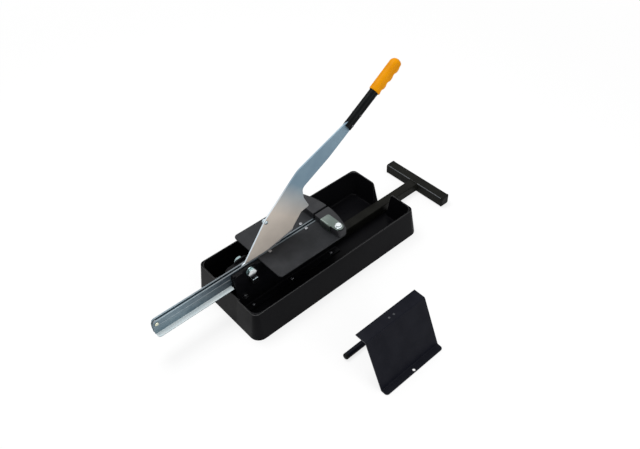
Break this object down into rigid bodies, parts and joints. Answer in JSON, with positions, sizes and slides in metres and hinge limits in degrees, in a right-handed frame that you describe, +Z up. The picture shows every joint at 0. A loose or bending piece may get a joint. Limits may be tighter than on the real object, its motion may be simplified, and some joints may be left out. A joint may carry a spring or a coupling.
{
  "type": "laminate cutter",
  "caption": "Lever-blade laminate cutter on a black tub base, with a slotted steel rail, fence and swinging stop, sliding T-foot and a folded end stand.",
  "frame": {"origin": "middle of the tray's flat underside, in the plane of the blade", "axes": "+X from the blade's plane towards the end stand, +Y from the rail's free end to the T-foot, +Z up"},
  "size_m": [0.574, 0.9095, 0.4832],
  "materials": {
    "tray_plastic": "glossy moulded black plastic",
    "black_steel": "black powder coat",
    "black_gloss_steel": "gloss black paint",
    "stand_steel": "satin black powder coat",
    "galvanised_steel": "galvanised sheet",
    "blade_steel": "satin ground steel",
    "bright_steel": "bright zinc plate",
    "fastener_steel": "zinc plate",
    "bush_bronze": "sintered bronze",
    "charcoal_steel": "charcoal powder coat",
    "charcoal_plastic": "charcoal moulded plastic",
    "black_plastic": "black moulded plastic",
    "orange_grip": "orange moulded grip"
  },
  "bodies": {
    "base": {"base_tray": "tray_plastic", "carrier_left": "black_steel", "carrier_right": "black_steel", "carrier_rivets": "fastener_steel", "packer_left": "black_steel", "packer_right": "black_steel", "rail_left": "galvanised_steel", "rail_right": "galvanised_steel", "slot_spacers": "fastener_steel", "rail_end_rivet": "fastener_steel", "clamp_bolts": "fastener_steel", "clamp_nuts": "fastener_steel", "tie_tubes": "black_steel", "shaft_guide": "black_plastic", "guide_screws": "fastener_steel", "bed_left": "charcoal_steel", "bed_right": "charcoal_steel", "bed_screws": "fastener_steel", "fence_left": "charcoal_plastic", "fence_right": "charcoal_plastic", "fence_screws": "fastener_steel", "pivot_bolt": "bright_steel", "pivot_nut": "bright_steel", "pivot_washers": "bright_steel", "stop_bolt": "bright_steel", "stop_washer": "bright_steel", "stop_nut": "fastener_steel"},
    "lever": {"blade": "blade_steel", "pivot_bush": "bush_bronze", "handle_tube": "black_gloss_steel", "handle_rivets": "fastener_steel", "grip": "orange_grip"},
    "t_foot": {"foot_shaft": "black_steel", "foot_crossbar": "black_steel", "foot_cap_left": "black_plastic", "foot_cap_right": "black_plastic", "shaft_plug": "black_plastic"},
    "stop": {"stop_arm": "galvanised_steel"},
    "stand": {"stand_panel": "stand_steel", "stand_strut": "stand_steel", "stand_rod": "stand_steel", "stand_rod_caps": "black_plastic", "stand_rivets": "fastener_steel"}
  },
  "joints": [
    {"name": "blade_pivot", "type": "hinge", "parent": "base", "child": "lever", "pos_m": [0, -0.2075, 0.116], "axis": [1, 0, 0], "range_deg": [-18, 45]},
    {"name": "foot_slide", "type": "slide", "parent": "base", "child": "t_foot", "axis": [0, 1, 0], "range_m": [-0.115, 0]},
    {"name": "stop_swing", "type": "hinge", "parent": "base", "child": "stop", "pos_m": [0.08, 0.031, 0.149], "axis": [0, 0, 1], "range_deg": [0, 45]},
    {"name": "stand_place", "type": "slide", "parent": "base", "child": "stand", "axis": [1, 0, 0], "range_m": [-0.15, 0.3]}
  ]
}
